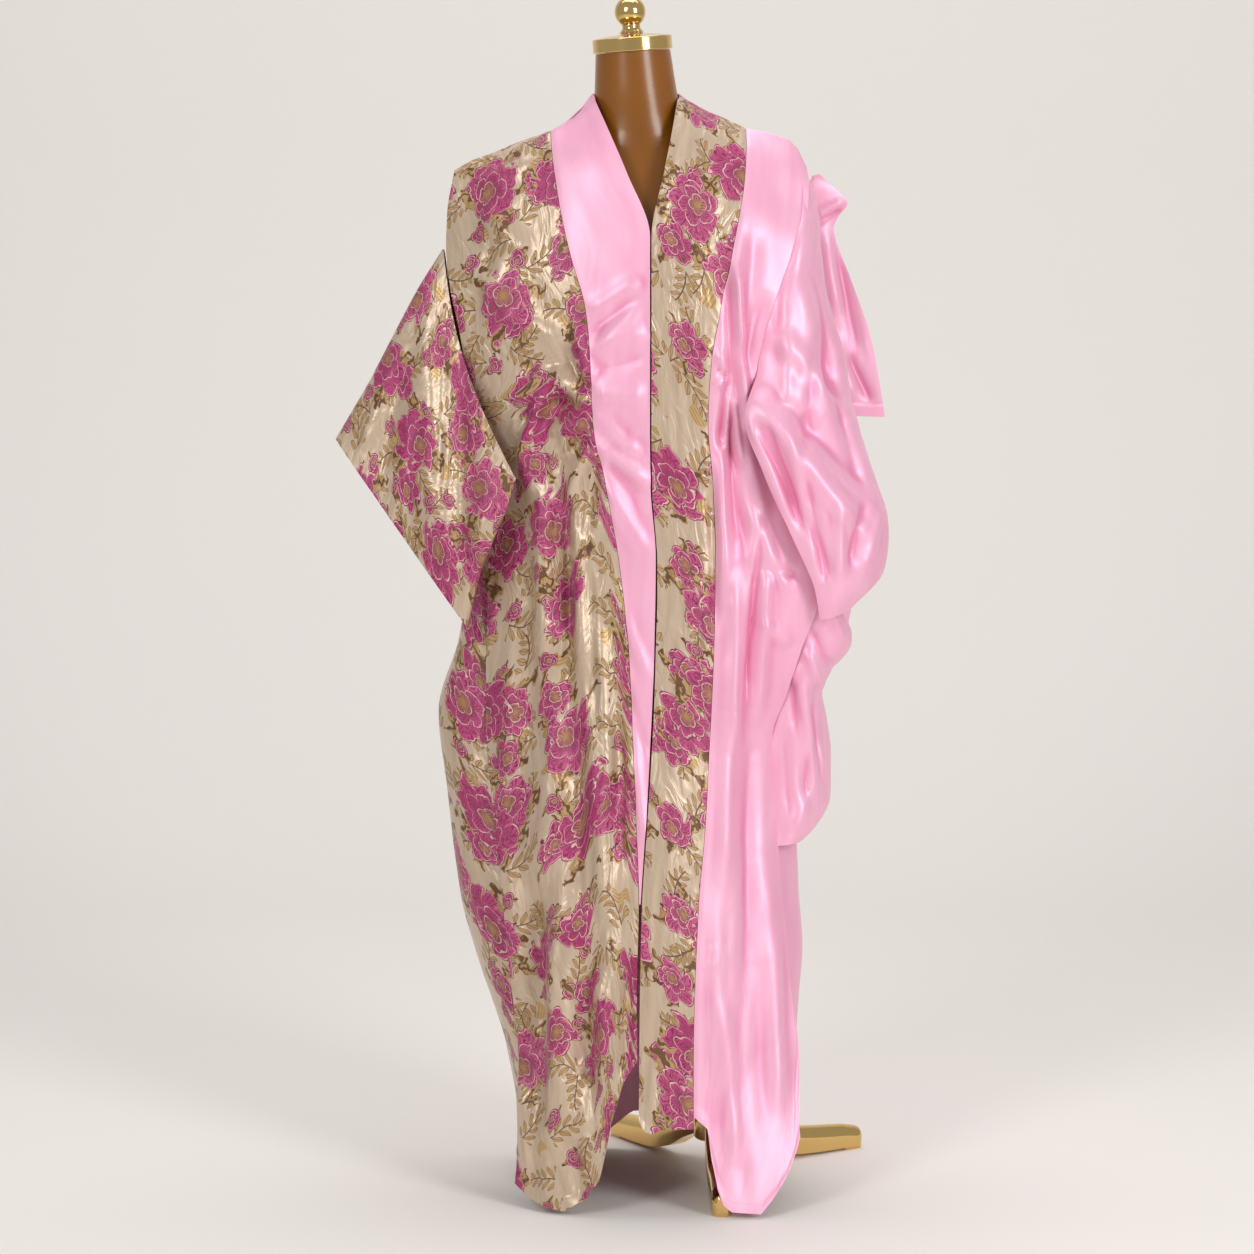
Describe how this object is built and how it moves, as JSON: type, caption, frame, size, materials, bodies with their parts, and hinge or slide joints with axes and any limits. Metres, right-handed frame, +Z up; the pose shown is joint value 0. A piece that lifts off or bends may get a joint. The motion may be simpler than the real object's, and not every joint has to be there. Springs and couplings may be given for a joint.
{
  "type": "open-front gown on dress form stand",
  "caption": "Full-length open-front gown, half flowered brocade and half plain satin, draped on a limbless dress form with a neck cap and a three-legged stand.",
  "frame": {"origin": "on the floor under the middle of the whole part's box", "axes": "+Z up, -Y towards the viewer of the gown's front, +X towards the satin half"},
  "size_m": [0.7624, 0.4952, 1.6406],
  "materials": {
    "brocade": "woven brocade with a soft metallic sheen",
    "satin": "satin",
    "form_skin": "glossy brown lacquer over a moulded shell",
    "gold": "polished"
  },
  "bodies": {
    "root": {"brocade_front": "brocade", "brocade_back": "brocade", "brocade_sleeve": "brocade", "brocade_band": "brocade", "satin_band": "satin", "satin_front": "satin", "satin_back": "satin", "satin_drape": "satin", "satin_fall": "satin", "satin_sleeve": "satin", "neck_band": "satin", "dress_form": "form_skin", "neck_cap": "gold", "finial": "gold", "stand_column": "gold", "stand_hub": "gold", "leg_front": "gold", "leg_right": "gold", "leg_left": "gold"}
  },
  "joints": []
}
